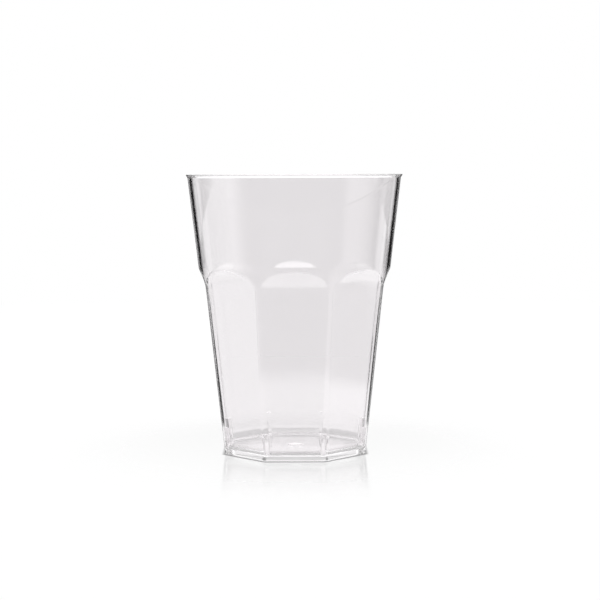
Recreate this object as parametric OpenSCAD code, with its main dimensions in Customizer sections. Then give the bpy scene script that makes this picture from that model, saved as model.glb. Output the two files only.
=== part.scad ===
// Clear plastic drinking tumbler, moulded in one piece.
// A round cone carries a small lip. Flat sides are cut into its lower part, and each ends in
// an arch where a hollow shoulder runs out through the cone. Inside are a closed floor and a
// short upright rib in each corner.
// Origin: centre of the base, on the surface the tumbler stands on. +Z is up. Millimetres.

/* [Overall size] */
// height from the standing surface to the lip
height = 107; // [96:0.5:118]
// outside diameter of the lip, the widest part
lip_d = 83.2; // [80:0.2:90]
// diameter of the round cone where it reaches the base
base_d = 57.6; // [54:0.2:61]
// thickness of the side wall
wall = 1.3; // [0.8:0.05:2]

/* [Lip] */
// how far the lip stands out from the wall
lip_out = 0.45; // [0.2:0.05:0.8]
// height of the flare below the lip
lip_h = 1.3; // [0.8:0.1:2.5]
// rounding of the lip's two edges
lip_edge = 0.35; // [0.15:0.05:0.5]

/* [Flat sides] */
// number of flat sides
flats = 8; // [6:1:10]
// distance across opposite flats at the base
flats_across = 54; // [51:0.2:56]
// height of the crown of each arch
arch_z = 71.1; // [60:0.5:80]
// how far each flat lies inside the round cone at the crown of its arch
arch_depth = 2.66; // [2.1:0.02:3]
// radius of the hollow shoulder that carries each flat out to its arch
shoulder_r = 14; // [9:0.5:20]

/* [Base] */
// thickness of the floor
floor_t = 1.8; // [1:0.1:3]
// rounding of the outer edge the tumbler stands on
foot_r = 0.8; // [0.4:0.1:1.4]
// radius between the floor and the wall, inside
floor_r = 3; // [1:0.25:5]
// diameter of the shallow round recess under the floor
recess_d = 47; // [30:1:48]
// depth of the recess
recess_depth = 0.2; // [0.1:0.05:0.8]
// diameter of the moulding point at the centre of the floor
gate_d = 6.6; // [3:0.2:10]
// rise of the moulding point above the floor
gate_rise = 0.6; // [0.3:0.1:1.2]

/* [Corner ribs] */
// width of each upright rib inside a corner
rib_w = 1.9; // [1.2:0.1:3]
// how far each rib stands in from the corner
rib_depth = 1.4; // [0.8:0.1:2.5]
// height of the flat top of the ribs
rib_z = 10.5; // [7:0.5:20]

/* [Hidden] */
$fn = 128;

plastic = [0.93, 0.94, 0.97, 0.35];
// how far a cutter reaches past what it cuts
beyond = 8;
// how far the lip's ring reaches into the wall
overlap = 0.5;
// how far a rounding reaches past the faces it runs into, so that it meets them in a clean line
crossing = 0.001;
// extra turn of the hollow shoulder past its crown, so that it leaves through the cone
run_out = 12;
lip_r = lip_d / 2;
base_r = base_d / 2;
top_r = lip_r - lip_out;
cone_slope = (top_r - base_r) / height;
cone_lean = atan(cone_slope);
flat_r = flats_across / 2;
flat_step = 360 / flats;
floor_z = recess_depth + floor_t;
// outward lean of the flats, from their distance at the base and their depth at the arches
flats_lean = atan((base_r + arch_z * cone_slope - arch_depth - flat_r) / arch_z);

// radius of the cone at height z, moved in from the outer skin by inset
function cone_r(z, inset) = base_r + z * cone_slope - inset / cos(cone_lean);

// distance of a flat from the axis at height z
function flat_x(z, inset) = flat_r + z * tan(flats_lean) - inset / cos(flats_lean);

// point at a distance up a flat from another point
function up_flat(point, distance) = point + distance * [sin(flats_lean), cos(flats_lean)];

// point at a distance straight out from a flat
function off_flat(point, distance) = point + distance * [cos(flats_lean), -sin(flats_lean)];

// the hollow shoulder touches the flat and turns outward through the arch's crown
crown_gap = arch_depth * cos(flats_lean);
crown_turn = acos(1 - crown_gap / shoulder_r);
shoulder_mid = off_flat(up_flat([cone_r(arch_z, 0), arch_z], -shoulder_r * sin(crown_turn)),
    shoulder_r - crown_gap);

// inner radius in a corner between two flats
function corner_r(z) = min(cone_r(z, wall), flat_x(z, wall) / cos(flat_step / 2));

// round cone from height z up, with the wall thickness taken off by inset
module cone_body(z, inset) {
    top = height + (inset > 0 ? beyond : 0);
    rotate_extrude()
        polygon([[0, z], [cone_r(z, inset), z], [cone_r(top, inset), top], [0, top]]);
}

// what one flat side removes, seen from the side: x is the distance from the axis, y is height
module flat_cut_outline(z, edge_r, inset) {
    hollow_r = shoulder_r + inset;
    lower = off_flat(shoulder_mid, -hollow_r);
    end_lean = flats_lean + crown_turn + run_out;
    upper = shoulder_mid + hollow_r * [-cos(end_lean), sin(end_lean)];
    far_x = shoulder_mid.x + hollow_r + beyond;
    far_z = upper.y + (far_x - upper.x) / tan(end_lean);
    low_z = -beyond;
    foot = [flat_x(z, inset), z];
    foot_reach = edge_r * tan(45 - flats_lean / 2);
    foot_in = foot - [foot_reach, 0];
    foot_up = up_flat(foot, foot_reach);

    // flat and shoulder
    polygon([[flat_x(low_z, inset), low_z], lower, upper, [far_x, far_z], [far_x, low_z]]);
    translate(shoulder_mid)
        circle(hollow_r + crossing);

    // rounded lower edge
    difference() {
        polygon([foot_in, [foot_in.x, low_z], [foot_up.x + beyond, low_z],
            [foot_up.x + beyond, foot_up.y], foot_up]);
        translate(foot_in + [0, edge_r])
            circle(edge_r + crossing);
    }
}

// cone with the flat sides cut, standing on height z
module faceted_body(z, edge_r, inset) {
    difference() {
        cone_body(z, inset);
        for (side = [0 : flats - 1])
            rotate([90, 0, side * flat_step])
                linear_extrude(height = 2 * lip_d, center = true)
                    flat_cut_outline(z, edge_r, inset);
    }
}

// flared lip with a rounded outer edge
module lip() {
    low_z = height - lip_h;
    start = [cone_r(low_z, 0), low_z];
    widest = [lip_r, height - lip_edge];
    // the flare begins inside the wall
    root = start - (widest - start) / 2;
    rotate_extrude() {
        polygon([[root.x - overlap, root.y], root, widest, [lip_r - lip_edge, height - lip_edge],
            [lip_r - lip_edge, height], [root.x - overlap, height]]);
        translate([lip_r - lip_edge, height - lip_edge])
            circle(lip_edge);
    }
}

// rounding of the inner edge of the mouth
module mouth_edge() {
    low = height - lip_edge;
    mouth_r = cone_r(low, wall);
    rotate_extrude()
        difference() {
            translate([mouth_r - lip_edge, low])
                square([2 * lip_edge, lip_edge + beyond]);
            translate([mouth_r + lip_edge, low])
                circle(lip_edge);
        }
}

// shallow round recess under the floor
module base_recess() {
    translate([0, 0, -beyond])
        cylinder(h = beyond + recess_depth, d = recess_d);
}

// low dome in the middle of the floor, where the plastic entered the mould
module gate_dome() {
    dome_r = (pow(gate_d / 2, 2) + pow(gate_rise, 2)) / (2 * gate_rise);
    intersection() {
        translate([0, 0, floor_z + gate_rise - dome_r])
            sphere(dome_r);
        translate([0, 0, floor_z - floor_t / 2])
            cylinder(h = floor_t + gate_rise, d = gate_d);
    }
}

// upright ribs that stand on the floor, one in each corner
module corner_ribs() {
    foot_z = floor_z - floor_t / 2;
    sink = wall / 2;
    for (side = [0 : flats - 1])
        rotate([90, 0, (side + 0.5) * flat_step])
            linear_extrude(height = rib_w, center = true)
                polygon([[corner_r(foot_z) - rib_depth, foot_z], [corner_r(foot_z) + sink, foot_z],
                    [corner_r(rib_z) + sink, rib_z], [corner_r(rib_z) - rib_depth, rib_z]]);
}

module tumbler() {
    color(plastic) {
        difference() {
            union() {
                faceted_body(0, foot_r, 0);
                lip();
            }
            faceted_body(floor_z, floor_r, wall);
            mouth_edge();
            base_recess();
        }
        corner_ribs();
        gate_dome();
    }
}

tumbler();
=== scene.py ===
"""Clear plastic tumbler on a white table, seen as in the product photograph."""

import math

import bpy
import numpy as np
from mathutils import Matrix, Vector


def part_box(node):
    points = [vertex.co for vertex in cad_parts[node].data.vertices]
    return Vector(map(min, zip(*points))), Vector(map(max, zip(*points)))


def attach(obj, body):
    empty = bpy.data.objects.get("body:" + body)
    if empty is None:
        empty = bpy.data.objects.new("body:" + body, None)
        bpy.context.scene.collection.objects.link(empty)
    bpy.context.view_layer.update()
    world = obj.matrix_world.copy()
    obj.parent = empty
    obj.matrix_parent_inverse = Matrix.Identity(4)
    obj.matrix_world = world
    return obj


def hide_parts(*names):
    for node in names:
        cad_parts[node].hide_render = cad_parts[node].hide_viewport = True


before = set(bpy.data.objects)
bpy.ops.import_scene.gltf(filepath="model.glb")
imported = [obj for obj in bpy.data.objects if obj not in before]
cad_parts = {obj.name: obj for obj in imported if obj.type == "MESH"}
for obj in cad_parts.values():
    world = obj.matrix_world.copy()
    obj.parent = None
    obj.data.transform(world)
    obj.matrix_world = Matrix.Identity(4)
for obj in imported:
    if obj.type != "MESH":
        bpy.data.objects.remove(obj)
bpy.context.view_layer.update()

# The shape is worked out in millimetres and the mesh is made in metres.
MM = 0.001

# Sizes read from the frame
box_low, box_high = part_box("tumbler")
HEIGHT = box_high[2] / MM
LIP_R = box_high[0] / MM

# Sizes of the moulding, as in the part's source
BASE_R = 28.8
LIP_OUT = 0.45
LIP_H = 1.3
LIP_EDGE = 0.35
WALL = 1.3
FLATS = 8
FLAT_R = 27.0
ARCH_Z = 71.1
ARCH_DEPTH = 2.66
SHOULDER_R = 14.0
FLOOR_Z = 2.0
FLOOR_R = 3.0
FOOT_R = 0.8
RECESS_R = 23.5
RECESS_DEPTH = 0.2
RECESS_ROUND = 0.05
GATE_R = 3.3
GATE_RISE = 0.6
RIB_HALF = 0.95
RIB_DEPTH = 1.4
RIB_Z = 10.5
RIB_ROUND = 0.25
# how far the columns stop short of the rib's side, where its rounding would stand upright
RIB_SHORT = 0.04
# a reach past every radius, for where nothing is cut back
NO_LIMIT = 99.0
# share of the hollow shoulder's radius that is followed, well past the cone
HOLLOW_SHARE = 0.97

# Small roundings that a mould leaves, as blend depths
OUTER_CORNER = 0.8
INNER_CORNER = 0.4
OUTER_CREASE = 0.3
INNER_CREASE = 0.2

CONE_SLOPE = (LIP_R - LIP_OUT - BASE_R) / HEIGHT
CONE_COS = math.cos(math.atan(CONE_SLOPE))
FLAT_LEAN = math.atan((BASE_R + ARCH_Z * CONE_SLOPE - ARCH_DEPTH - FLAT_R) / ARCH_Z)
STEP = 2 * math.pi / FLATS

# Camera, fitted to the outline in the photograph
CAMERA_BACK = 0.5860
CAMERA_UP = 0.1077
CAMERA_RIGHT = 0.00204
CAMERA_PITCH = math.radians(4.812)
CAMERA_ROLL = math.radians(-0.222)
FOCAL_PIXELS = 1517
FRAME_PIXELS = 600
SENSOR_MM = 36

# Light runs many times between the two faces of the floor and of the wall
LIGHT_BOUNCES = 128


def sphere_height(degrees):
    """Height on the unit sphere of a direction that rises by so many degrees."""
    return math.sin(math.radians(degrees))


# Studio, as the plastic sees it. A window is in degrees of azimuth from straight behind, positive
# to the right: start, end, softness of each edge, strength. A height or a distance has two
# values: where the fade is 0, and where it is 1.
SCREEN = (-15.5, 12, 2.5, 2.5, 1.0)
SCREEN_FOOT = (sphere_height(4), sphere_height(1))
LEFT_BOX = (-116, -72, 8, 22, 0.8)
RIGHT_BOX = (92, 110, 8, 14, 0.5)
LEFT_STRIP = (-54, -39, 5, 3, 0.85)
RIGHT_STRIP = (36, 48, 3, 5, 0.6)
STRIP_HEIGHT = (-0.15, -0.11)
SKY = (-80, 80, 15, 15, 1.3)
SKY_HEIGHT = (sphere_height(9.6), sphere_height(10.4))
CORNER_LIGHT = (25, 38, 3, 3, 0.9)
CORNER_HEIGHT = (-0.03, 0.0)
FLOOR_HEIGHT = (sphere_height(-8.5), sphere_height(-9))
LEFT_DARK = (-76, -13, 4, 3, 1.0)
LEFT_DARK_HEIGHT = (-0.37, -0.33)
RIGHT_DARK = (13, 76, 3, 4, 1.0)
RIGHT_DARK_HEIGHT = (-0.25, -0.23)
FOOT_DARK = (-20, 20, 4, 4, 0.6)
FOOT_DARK_HEIGHT = (0.12, 0.16)
ROOM = 0.01
ROOM_FILL = 0.12
TOP_BOX_HEIGHT = (sphere_height(53) - 0.02, sphere_height(53) + 0.02)
TOP_BOX_STRENGTH = 2.5
# share of the top box that is left after two mirrorings
TOP_BOX_AGAIN = 0.25
# light that has been mirrored often inside the plastic comes from all round, and is pale
OFTEN_MIRRORED = 8.5
OFTEN_LIGHT = 0.75
OFTEN_HEIGHT = (0.24, 0.32)

# Table, in metres
TABLE_R = 0.7
TABLE_SIDES = 96
TABLE_DROP = 0.00005
SHINE_REACH = (0.1, 0.04)
# share of the table that glows white to the camera and in the plastic
GLOW_TO_CAMERA = 0.93
GLOW_IN_GLASS = 0.8
FULL_GLOW = (0.08, 0.3)
# painted dark patches on the table, in front and behind, standing in for black cards, that only
# mirrored light sees: painted dark reflections in the plastic
FRONT_PAINTED_DARK_LEFT = (-85, -45)
FRONT_PAINTED_DARK_RIGHT = (130, 100)
FRONT_PAINTED_DARK_START = (0.105, 0.14)
LEFT_PAINTED_DARK = (-50, -24, 14, 3, 1.0)
RIGHT_PAINTED_DARK = (21, 52, 3, 6, 1.0)
SIDE_PAINTED_DARK_START = (0.33, 0.45)
BACK_PAINTED_DARK = (-50, 52, 14, 6, 1.0)
BACK_PAINTED_DARK_START = (0.05, 0.08)
# gaps beside the tumbler, where mirrored light passes by the table
GAP = (13, 88, 3, 3, 1.0)
GAP_START = (0.055, 0.07)
GAP_START_AGAIN = (0.075, 0.09)
GAP_END = (0.37, 0.33)
# shade close round the foot, as the plastic shows it and as the camera sees it
CONTACT_START = (0.016, 0.02)
CONTACT_END = (0.044, 0.034)
CONTACT_SHADE = 0.3
LINE_END = (0.0285, 0.0270)
LINE_SHADE = 0.6


def cone_r(z, inset):
    """Radius of the round cone at height z, moved in by inset."""
    return BASE_R + z * CONE_SLOPE - inset / CONE_COS


def flat_x(z, inset):
    """Distance of a flat from the axis at height z."""
    return FLAT_R + z * math.tan(FLAT_LEAN) - inset / math.cos(FLAT_LEAN)


def shoulder_mid():
    """Centre of the hollow shoulder, which touches the flat and passes through the crown."""
    gap = ARCH_DEPTH * math.cos(FLAT_LEAN)
    rise = SHOULDER_R * math.sin(math.acos(1 - gap / SHOULDER_R))
    out = SHOULDER_R - gap
    x = cone_r(ARCH_Z, 0) - rise * math.sin(FLAT_LEAN) + out * math.cos(FLAT_LEAN)
    z = ARCH_Z - rise * math.cos(FLAT_LEAN) - out * math.sin(FLAT_LEAN)
    return x, z


def side_x(z, base_z, edge_r, inset):
    """Outline of one side in its middle: rounded foot, flat, hollow shoulder."""
    mid_x, mid_z = shoulder_mid()
    hollow = SHOULDER_R + inset
    if z > mid_z + hollow * math.sin(FLAT_LEAN):
        rise = min(z - mid_z, HOLLOW_SHARE * hollow)
        return mid_x - math.sqrt(hollow**2 - rise**2)
    reach = edge_r * math.tan(math.pi / 4 - FLAT_LEAN / 2)
    if z < base_z + reach * math.cos(FLAT_LEAN):
        rise = edge_r - (z - base_z)
        return flat_x(base_z, inset) - reach + math.sqrt(max(edge_r**2 - rise**2, 0))
    return flat_x(z, inset)


def blend_low(a, b, depth):
    """The lower of two values, with a rounded change from one to the other."""
    h = np.maximum(depth - np.abs(a - b), 0) / depth
    return np.minimum(a, b) - h * h * depth / 4


def skin_r(angle, z, base_z, edge_r, inset):
    """Radius of the outer skin, or of the inner one when inset is the wall."""
    corner, crease = (OUTER_CORNER, OUTER_CREASE) if inset == 0 else (INNER_CORNER, INNER_CREASE)
    off = np.abs((angle + STEP / 2) % STEP - STEP / 2)
    x = side_x(z, base_z, edge_r, inset)
    flats = blend_low(x / np.cos(off), x / np.cos(STEP - off), corner)
    return blend_low(flats, cone_r(z, inset), crease)


def corner_offsets():
    """Distances from a corner, in millimetres, of the columns that follow it."""
    rib = [0, 0.35, 0.55, 0.7, 0.8, 0.87, 0.91]
    beside = [0.97, 1.1, 1.35, 1.7, 2.3, 3.2]
    return np.array(rib + beside), len(rib)


def columns(radius):
    """Angles of the mesh columns at a corner radius, and the rib height share of each."""
    offsets, rib_count = corner_offsets()
    between = 9
    near = np.arcsin(offsets / max(radius, BASE_R))
    far = near[-1] + (STEP / 2 - near[-1]) * np.arange(1, between + 1) / between
    half = np.concatenate([near, far])
    edge = np.clip((RIB_HALF - offsets[:rib_count] - RIB_SHORT) / RIB_ROUND, 0, 1)
    rounded = RIB_ROUND * (1 - np.sqrt(1 - (1 - edge) ** 2))
    share = np.concatenate([rounded, np.full(len(half) - rib_count, NO_LIMIT)])
    angles = np.concatenate([half, STEP - half[1:-1][::-1]])
    shares = np.concatenate([share, share[1:-1][::-1]])
    turn = np.concatenate([angles + STEP * (k + 0.5) for k in range(FLATS)])
    return turn, np.tile(shares, FLATS)


def rib_limit(z, angle, share):
    """Innermost reach of the corner ribs at height z: the skin is cut back to it."""
    face = cone_r(z, WALL) - RIB_DEPTH
    top = np.clip((z - (RIB_Z - RIB_ROUND)) / RIB_ROUND, 0, 1)
    rounded = RIB_ROUND * (1 - math.sqrt(1 - top**2))
    if z > RIB_Z:
        return np.full(len(angle), NO_LIMIT)
    return face + rounded + share


class Rings:
    """Rings of points, from the middle of the base round the skin to the middle of the floor."""

    def __init__(self):
        self.rings = []

    def add(self, angle, radius, z):
        radius = np.broadcast_to(radius, angle.shape)
        z = np.broadcast_to(z, angle.shape)
        self.rings.append(np.stack([radius * np.cos(angle), radius * np.sin(angle), z], 1))

    def mesh(self, name, low_z, high_z):
        count = len(self.rings[0])
        points = np.concatenate(self.rings + [np.array([[0, 0, low_z], [0, 0, high_z]])]) * MM
        first, last = len(points) - 2, len(points) - 1
        here = np.arange(count)
        after = (here + 1) % count
        faces = []
        for k in range(len(self.rings) - 1):
            a, b = k * count, (k + 1) * count
            faces += np.stack([a + here, a + after, b + after, b + here], 1).tolist()
        top = (len(self.rings) - 1) * count
        faces += [[first, int(after[i]), int(i)] for i in here]
        faces += [[last, top + int(i), top + int(after[i])] for i in here]
        mesh = bpy.data.meshes.new(name)
        mesh.from_pydata(points.tolist(), [], faces)
        return mesh


def arc_steps(count):
    """Evenly spaced angles over a quarter turn, both ends left out."""
    return [math.pi / 2 * (k + 1) / (count + 1) for k in range(count)]


def add_base(rings):
    """Recess under the floor, foot ring and rounded foot."""
    angle, _ = columns(BASE_R)
    for radius in (1.5, 4, 8, 13, 18, 21.5, 23):
        rings.add(angle, radius, RECESS_DEPTH)
    rings.add(angle, RECESS_R - RECESS_ROUND, RECESS_DEPTH)
    rings.add(angle, RECESS_R, RECESS_DEPTH - RECESS_ROUND)
    rings.add(angle, RECESS_R, RECESS_ROUND)
    rings.add(angle, RECESS_R + RECESS_ROUND, 0)
    foot = skin_r(angle, 0, 0, FOOT_R, 0)
    rings.add(angle, (RECESS_R + foot) / 2, 0)
    rings.add(angle, foot - 0.1, 0)
    rings.add(angle, foot, 0)
    for turn in arc_steps(7):
        z = FOOT_R * (1 - math.cos(turn))
        rings.add(angle, skin_r(angle, z, 0, FOOT_R, 0), z)


def heights(*spans):
    """Heights along a wall: each span is its start, its end and its number of steps."""
    return [start + (end - start) * k / count for start, end, count in spans for k in range(count)]


def add_outer_wall(rings):
    low = HEIGHT - LIP_H
    for z in heights((0.8, 60, 16), (60, 73, 60), (73, low - 0.4, 14), (low - 0.4, low, 5)):
        angle, _ = columns(skin_r(np.array([STEP / 2]), z, 0, FOOT_R, 0)[0])
        rings.add(angle, skin_r(angle, z, 0, FOOT_R, 0), z)


def add_lip(rings):
    """Flared lip and rounded mouth."""
    angle, _ = columns(LIP_R)
    low = HEIGHT - LIP_H
    edge_z = HEIGHT - LIP_EDGE
    for k in range(5):
        t = k / 5
        rings.add(angle, cone_r(low, 0) + (LIP_R - cone_r(low, 0)) * t, low + (edge_z - low) * t)
    rings.add(angle, LIP_R, edge_z)
    for turn in arc_steps(5):
        rings.add(angle, LIP_R - LIP_EDGE * (1 - math.cos(turn)), edge_z + LIP_EDGE * math.sin(turn))
    rings.add(angle, LIP_R - LIP_EDGE, HEIGHT)
    mouth = cone_r(edge_z, WALL) + LIP_EDGE
    rings.add(angle, mouth, HEIGHT)
    for turn in arc_steps(5):
        rings.add(angle, mouth - LIP_EDGE * math.sin(turn), edge_z + LIP_EDGE * math.cos(turn))


def add_inner_wall(rings):
    """Inner skin with the corner ribs, down to the floor fillet."""
    ledge = (RIB_Z + 0.5, RIB_Z + 0.2, RIB_Z + 0.06, RIB_Z + 0.015)
    lip_of_rib = [RIB_Z - RIB_ROUND * (1 - math.cos(turn)) for turn in arc_steps(4)]
    fillet_top = FLOOR_Z + FLOOR_R * math.tan(math.pi / 4 - FLAT_LEAN / 2) * math.cos(FLAT_LEAN)
    fillet = [FLOOR_Z + FLOOR_R * (1 - math.sin(turn)) for turn in arc_steps(14)]
    levels = heights((HEIGHT - LIP_EDGE, 73, 14), (73, 60, 60), (60, 12, 14))
    levels += [*ledge, RIB_Z - 0.001, *lip_of_rib]
    levels += heights((RIB_Z - RIB_ROUND - 0.05, fillet_top, 8))
    levels += [z for z in fillet if z < fillet_top - 0.02]
    for z in levels:
        angle, share = columns(skin_r(np.array([STEP / 2]), z, FLOOR_Z, FLOOR_R, WALL)[0])
        skin = skin_r(angle, z, FLOOR_Z, FLOOR_R, WALL)
        rings.add(angle, np.minimum(skin, rib_limit(z, angle, share)), z)


def add_floor(rings):
    """Floor from its rounded edge to the low dome in the middle."""
    angle, _ = columns(BASE_R)
    edge = skin_r(angle, FLOOR_Z, FLOOR_Z, FLOOR_R, WALL)
    for share in (1, 0.97, 0.9, 0.78, 0.62, 0.45, 0.3, 0.2):
        rings.add(angle, GATE_R + (edge - GATE_R) * share, FLOOR_Z)
    for share in (1.12, 1.04):
        rings.add(angle, GATE_R * share, FLOOR_Z)
    dome_r = (GATE_R**2 + GATE_RISE**2) / (2 * GATE_RISE)
    for share in (1, 0.9, 0.75, 0.6, 0.45, 0.3, 0.15):
        radius = GATE_R * share
        rings.add(angle, radius, FLOOR_Z + GATE_RISE - dome_r + math.sqrt(dome_r**2 - radius**2))


def tumbler():
    """The whole moulding as one closed mesh."""
    rings = Rings()
    add_base(rings)
    add_outer_wall(rings)
    add_lip(rings)
    add_inner_wall(rings)
    add_floor(rings)
    mesh = rings.mesh("tumbler_moulding", RECESS_DEPTH, FLOOR_Z + GATE_RISE)
    piece = bpy.data.objects.new("tumbler_moulding", mesh)
    bpy.context.scene.collection.objects.link(piece)
    mesh.shade_smooth()
    mesh.set_sharp_from_angle(angle=math.radians(30))
    mesh.materials.append(clear_plastic())
    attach(piece, "root")
    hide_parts("tumbler")
    return piece


def clear_plastic():
    """Hard clear plastic with a trace of tint, faint flow waves and a slightly uneven polish."""
    material = bpy.data.materials.new("clear_plastic")
    material.use_nodes = True
    nodes, links = material.node_tree.nodes, material.node_tree.links
    shader = nodes["Principled BSDF"]
    shader.inputs["Transmission Weight"].default_value = 1.0
    shader.inputs["IOR"].default_value = 1.59
    place = nodes.new("ShaderNodeTexCoord")

    tint = nodes.new("ShaderNodeTexNoise")
    tint.inputs["Scale"].default_value = 18
    tint_ramp = nodes.new("ShaderNodeValToRGB")
    tint_ramp.color_ramp.elements[0].color = (0.962, 0.946, 0.955, 1)
    tint_ramp.color_ramp.elements[1].color = (0.972, 0.958, 0.967, 1)
    links.new(place.outputs["Object"], tint.inputs["Vector"])
    links.new(tint.outputs["Fac"], tint_ramp.inputs["Fac"])
    links.new(tint_ramp.outputs["Color"], shader.inputs["Base Color"])

    polish = nodes.new("ShaderNodeTexNoise")
    polish.inputs["Scale"].default_value = 60
    polish_range = nodes.new("ShaderNodeMapRange")
    polish_range.inputs["To Min"].default_value = 0.0
    polish_range.inputs["To Max"].default_value = 0.02
    links.new(place.outputs["Object"], polish.inputs["Vector"])
    links.new(polish.outputs["Fac"], polish_range.inputs["Value"])
    links.new(polish_range.outputs["Result"], shader.inputs["Roughness"])

    flow = nodes.new("ShaderNodeTexNoise")
    flow.inputs["Scale"].default_value = 45
    flow.inputs["Detail"].default_value = 1
    stretch = nodes.new("ShaderNodeMapping")
    stretch.inputs["Scale"].default_value = (1, 1, 0.4)
    bump = nodes.new("ShaderNodeBump")
    bump.inputs["Strength"].default_value = 0.06
    bump.inputs["Distance"].default_value = 0.0004
    links.new(place.outputs["Object"], stretch.inputs["Vector"])
    links.new(stretch.outputs["Vector"], flow.inputs["Vector"])
    links.new(flow.outputs["Fac"], bump.inputs["Height"])
    links.new(bump.outputs["Normal"], shader.inputs["Normal"])
    return material


class Graph:
    """Nodes of one material or of the world, with short ways to reckon with their sockets."""

    def __init__(self, tree):
        self.nodes = tree.nodes
        self.links = tree.links
        path = self.nodes.new("ShaderNodeLightPath").outputs
        self.to_camera = path["Is Camera Ray"]
        self.glossy = path["Is Glossy Ray"]
        self.transmitted = path["Is Transmission Ray"]
        self.mirrorings = path["Glossy Depth"]
        self.diffusions = path["Diffuse Depth"]

    def fill(self, socket, value):
        """Sets a number on a socket, or links another socket to it."""
        if isinstance(value, (int, float)):
            socket.default_value = value
        else:
            self.links.new(value, socket)

    def math(self, operation, *values):
        node = self.nodes.new("ShaderNodeMath")
        node.operation = operation
        for socket, value in zip(node.inputs, values):
            self.fill(socket, value)
        return node.outputs[0]

    def times(self, first, *others):
        for other in others:
            first = self.math("MULTIPLY", first, other)
        return first

    def most(self, first, *others):
        for other in others:
            first = self.math("MAXIMUM", first, other)
        return first

    def none_of(self, value):
        return self.math("SUBTRACT", 1.0, value)

    def mix(self, share, first, second):
        """The first number where share is 0, the second where it is 1."""
        node = self.nodes.new("ShaderNodeMix")
        node.data_type = "FLOAT"
        self.fill(node.inputs["Factor"], share)
        self.fill(node.inputs["A"], first)
        self.fill(node.inputs["B"], second)
        return node.outputs["Result"]

    def mix_shaders(self, share, first, second):
        """The first shader where share is 0, the second where it is 1."""
        node = self.nodes.new("ShaderNodeMixShader")
        for socket, value in zip(node.inputs, (share, first, second)):
            self.links.new(value, socket)
        return node.outputs["Shader"]

    def fade(self, value, start, end):
        """Goes from 0 at start to 1 at end, with soft ends."""
        ramp = self.nodes.new("ShaderNodeMapRange")
        ramp.interpolation_type = "SMOOTHSTEP"
        ramp.inputs["From Min"].default_value = start
        ramp.inputs["From Max"].default_value = end
        self.links.new(value, ramp.inputs["Value"])
        return ramp.outputs["Result"]

    def fade_degrees(self, value, start, end):
        return self.fade(value, math.radians(start), math.radians(end))

    def window(self, azimuth, low, high, soft_low, soft_high, strength):
        """Strength between two azimuths in degrees, with its own softness at each edge."""
        rise = self.fade_degrees(azimuth, low - soft_low, low + soft_low)
        fall = self.fade_degrees(azimuth, high + soft_high, high - soft_high)
        return self.times(rise, fall, strength)

    def in_plastic(self):
        """1 for light that comes off or through the plastic."""
        return self.most(self.glossy, self.transmitted)

    def mirrored(self):
        """1 for light that was mirrored at least once."""
        return self.math("MINIMUM", self.mirrorings, 1.0)

    def mirrored_twice(self):
        """1 for light that was mirrored twice or more."""
        return self.math("GREATER_THAN", self.mirrorings, 1.5)

    def mirrored_often(self):
        return self.math("GREATER_THAN", self.mirrorings, OFTEN_MIRRORED)

    def mirrored_directly(self):
        """1 for light that the outer skin mirrors to the camera."""
        return self.times(self.glossy, self.none_of(self.transmitted))

    def straight_through(self):
        """1 for light that comes straight through the plastic, 0 after any mirroring."""
        return self.times(self.transmitted, self.math("LESS_THAN", self.mirrorings, 0.5))


def studio_lights(graph, azimuth, rise):
    """Screen, softboxes, strips and sky, as the plastic sees them."""
    no_screen = graph.times(graph.fade(rise, *SCREEN_FOOT), graph.mirrored_directly())
    total = graph.mix(no_screen, graph.window(azimuth, *SCREEN), 0.0)
    for box in (LEFT_BOX, RIGHT_BOX):
        total = graph.math("ADD", total, graph.window(azimuth, *box))
    upright = graph.fade(rise, *STRIP_HEIGHT)
    for strip in (LEFT_STRIP, RIGHT_STRIP):
        total = graph.math("ADD", total, graph.times(graph.window(azimuth, *strip), upright))
    sky = graph.times(graph.fade(rise, *SKY_HEIGHT), graph.window(azimuth, *SKY))
    corner = graph.window(graph.math("ABSOLUTE", azimuth), *CORNER_LIGHT)
    corner = graph.times(corner, graph.fade(rise, *CORNER_HEIGHT))
    return graph.most(total, sky, corner)


def studio_floor(graph, azimuth, rise):
    """White floor beyond the table, apart from a dark stretch on each side."""
    left = graph.times(graph.window(azimuth, *LEFT_DARK), graph.fade(rise, *LEFT_DARK_HEIGHT))
    right = graph.times(graph.window(azimuth, *RIGHT_DARK), graph.fade(rise, *RIGHT_DARK_HEIGHT))
    return graph.times(graph.fade(rise, *FLOOR_HEIGHT), graph.none_of(graph.most(left, right)))


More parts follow.
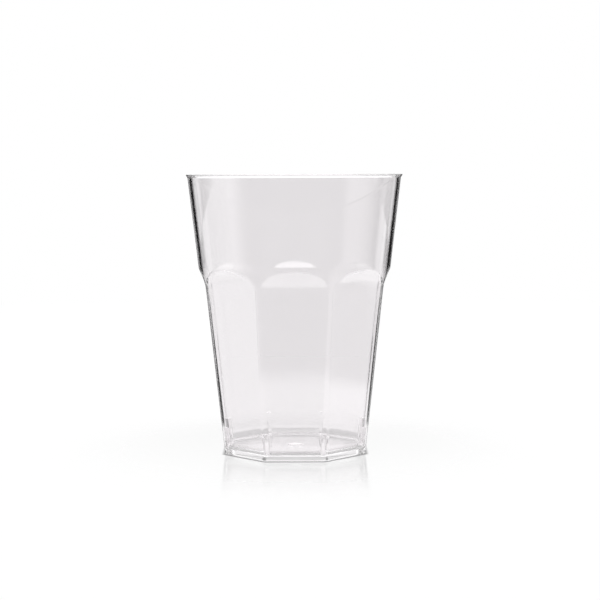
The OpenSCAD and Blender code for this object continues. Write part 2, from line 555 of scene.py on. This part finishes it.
def studio_world():
    """White to the camera. Glass and gloss see a white screen behind, softboxes and a dark room."""
    world = bpy.data.worlds.new("studio")
    bpy.context.scene.world = world
    world.use_nodes = True
    background = world.node_tree.nodes["Background"]
    background.inputs["Color"].default_value = (1, 1, 1, 1)
    graph = Graph(world.node_tree)
    place = graph.nodes.new("ShaderNodeTexCoord")
    parts = graph.nodes.new("ShaderNodeSeparateXYZ")
    graph.links.new(place.outputs["Generated"], parts.inputs["Vector"])
    azimuth = graph.math("ARCTAN2", parts.outputs["X"], parts.outputs["Y"])
    rise = parts.outputs["Z"]
    steepness = graph.math("ABSOLUTE", rise)

    total = graph.most(studio_lights(graph, azimuth, rise), studio_floor(graph, azimuth, rise))
    twice = graph.mirrored_twice()
    dark = graph.times(graph.window(azimuth, *FOOT_DARK), graph.fade(rise, *FOOT_DARK_HEIGHT), twice)
    total = graph.times(total, graph.none_of(dark))
    often = graph.times(graph.mirrored_often(), graph.fade(steepness, *OFTEN_HEIGHT))
    often = graph.times(often, OFTEN_LIGHT)
    total = graph.most(total, ROOM, graph.straight_through(), often)

    top = graph.times(graph.fade(rise, *TOP_BOX_HEIGHT), TOP_BOX_STRENGTH)
    seen = graph.math("ADD", total, graph.times(top, graph.mix(twice, 1.0, TOP_BOX_AGAIN)))
    onto_table = graph.math("ADD", top, ROOM_FILL)
    strength = graph.mix(graph.in_plastic(), 1.0, seen)
    strength = graph.mix(graph.math("MINIMUM", graph.diffusions, 1.0), strength, onto_table)
    graph.links.new(strength, background.inputs["Strength"])


class Spot:
    """The point of the table that a ray meets: its place, its distance and its azimuth."""

    def __init__(self, graph):
        place = graph.nodes.new("ShaderNodeTexCoord")
        length = graph.nodes.new("ShaderNodeVectorMath")
        length.operation = "LENGTH"
        graph.links.new(place.outputs["Object"], length.inputs[0])
        parts = graph.nodes.new("ShaderNodeSeparateXYZ")
        graph.links.new(place.outputs["Object"], parts.inputs["Vector"])
        self.x = parts.outputs["X"]
        self.y = parts.outputs["Y"]
        self.distance = length.outputs["Value"]
        self.azimuth = graph.math("ARCTAN2", self.x, self.y)


def painted_dark_patches(graph, spot):
    """1 where a painted dark patch, standing in for a black card, blackens the table for what the
    plastic mirrors or bends aside.
    """
    mirrored = graph.mirrored()
    front = graph.math("ARCTAN2", spot.x, graph.times(spot.y, -1.0))
    ahead = graph.times(
        graph.fade_degrees(front, *FRONT_PAINTED_DARK_LEFT), graph.fade_degrees(front, *FRONT_PAINTED_DARK_RIGHT),
        graph.fade(spot.distance, *FRONT_PAINTED_DARK_START), mirrored)
    sides = graph.most(graph.window(spot.azimuth, *LEFT_PAINTED_DARK), graph.window(spot.azimuth, *RIGHT_PAINTED_DARK))
    sides = graph.times(sides, graph.fade(spot.distance, *SIDE_PAINTED_DARK_START), mirrored)
    beyond = graph.times(
        graph.window(spot.azimuth, *BACK_PAINTED_DARK), graph.fade(spot.y, *BACK_PAINTED_DARK_START),
        graph.mirrored_directly())
    return graph.times(graph.most(ahead, sides, beyond), graph.none_of(graph.to_camera))


def side_gaps(graph, spot):
    """1 where the table is left out beside the tumbler, for what the plastic bends far aside."""
    early = graph.fade(spot.distance, *GAP_START)
    late = graph.fade(spot.distance, *GAP_START_AGAIN)
    return graph.times(
        graph.window(graph.math("ABSOLUTE", spot.azimuth), *GAP),
        graph.mix(graph.mirrored_twice(), early, late), graph.fade(spot.distance, *GAP_END),
        graph.in_plastic(), graph.mirrored())


def contact_shade(graph, spot):
    """Shade on the table close round the eight-sided foot."""
    across = graph.math("ABSOLUTE", spot.x)
    along = graph.math("ABSOLUTE", spot.y)
    diagonal = graph.times(graph.math("ADD", across, along), math.sqrt(0.5))
    reach = graph.most(across, along, diagonal)
    ring = graph.times(graph.fade(reach, *CONTACT_START), graph.fade(reach, *CONTACT_END))
    once = graph.math("SUBTRACT", graph.in_plastic(), graph.mirrored_twice())
    line = graph.times(graph.fade(reach, *LINE_END), graph.to_camera, LINE_SHADE)
    return graph.most(graph.times(ring, once, CONTACT_SHADE), line)


def table_glow(graph, spot):
    """Share of the table that glows white instead of being lit."""
    full = graph.most(graph.fade(spot.distance, *FULL_GLOW), graph.mirrored_twice())
    in_plastic = graph.mix(graph.in_plastic(), 0.0, graph.mix(full, GLOW_IN_GLASS, 1.0))
    return graph.mix(graph.to_camera, in_plastic, GLOW_TO_CAMERA)


def table_white():
    """White, lit and glowing, with a shine near the tumbler, painted dark patches in what the plastic
    mirrors, painted shade round the foot, and gaps.
    """
    material = bpy.data.materials.new("table_white")
    material.use_nodes = True
    graph = Graph(material.node_tree)
    nodes = graph.nodes
    nodes.remove(nodes["Principled BSDF"])
    spot = Spot(graph)
    lit = nodes.new("ShaderNodeBsdfDiffuse")
    lit.inputs["Color"].default_value = (0.97, 0.97, 0.97, 1)
    white = nodes.new("ShaderNodeEmission")
    white.inputs["Color"].default_value = (1, 1, 1, 1)
    shine = nodes.new("ShaderNodeBsdfGlossy")
    shine.inputs["Roughness"].default_value = 0.12
    fresnel = nodes.new("ShaderNodeFresnel")
    fresnel.inputs["IOR"].default_value = 1.45
    black = nodes.new("ShaderNodeBsdfDiffuse")
    black.inputs["Color"].default_value = (0.02, 0.02, 0.02, 1)
    opening = nodes.new("ShaderNodeBsdfTransparent")

    surface = graph.mix_shaders(table_glow(graph, spot), lit.outputs["BSDF"], white.outputs["Emission"])
    shining = graph.times(fresnel.outputs["Fac"], graph.fade(spot.distance, *SHINE_REACH))
    surface = graph.mix_shaders(shining, surface, shine.outputs["BSDF"])
    # painted dark reflections and painted shade round the foot turn the table black
    shade = graph.most(painted_dark_patches(graph, spot), contact_shade(graph, spot))
    surface = graph.mix_shaders(shade, surface, black.outputs["BSDF"])
    surface = graph.mix_shaders(side_gaps(graph, spot), surface, opening.outputs["BSDF"])
    graph.links.new(surface, nodes["Material Output"].inputs["Surface"])
    return material


def table():
    """Round white table top, a hair below the foot."""
    turns = [2 * math.pi * k / TABLE_SIDES for k in range(TABLE_SIDES)]
    ring = [(TABLE_R * math.cos(turn), TABLE_R * math.sin(turn), 0) for turn in turns]
    mesh = bpy.data.meshes.new("table")
    mesh.from_pydata(ring, [], [list(range(TABLE_SIDES))])
    mesh.materials.append(table_white())
    floor = bpy.data.objects.new("table", mesh)
    bpy.context.scene.collection.objects.link(floor)
    floor.location = (0, 0, -TABLE_DROP)


def camera():
    data = bpy.data.cameras.new("camera")
    data.sensor_width = SENSOR_MM
    data.lens = SENSOR_MM * FOCAL_PIXELS / FRAME_PIXELS
    data.clip_start = 0.01
    eye = bpy.data.objects.new("camera", data)
    bpy.context.scene.collection.objects.link(eye)
    place = Matrix.Translation(Vector((CAMERA_RIGHT, -CAMERA_BACK, CAMERA_UP)))
    tilt = Matrix.Rotation(math.pi / 2 - CAMERA_PITCH, 4, "X")
    eye.matrix_world = place @ tilt @ Matrix.Rotation(CAMERA_ROLL, 4, "Z")
    bpy.context.scene.camera = eye


scene = bpy.context.scene
scene.view_settings.view_transform = "Standard"
scene.cycles.max_bounces = LIGHT_BOUNCES
scene.cycles.glossy_bounces = LIGHT_BOUNCES
scene.cycles.transmission_bounces = LIGHT_BOUNCES
camera()
studio_world()
table()
tumbler()

bpy.context.view_layer.update()
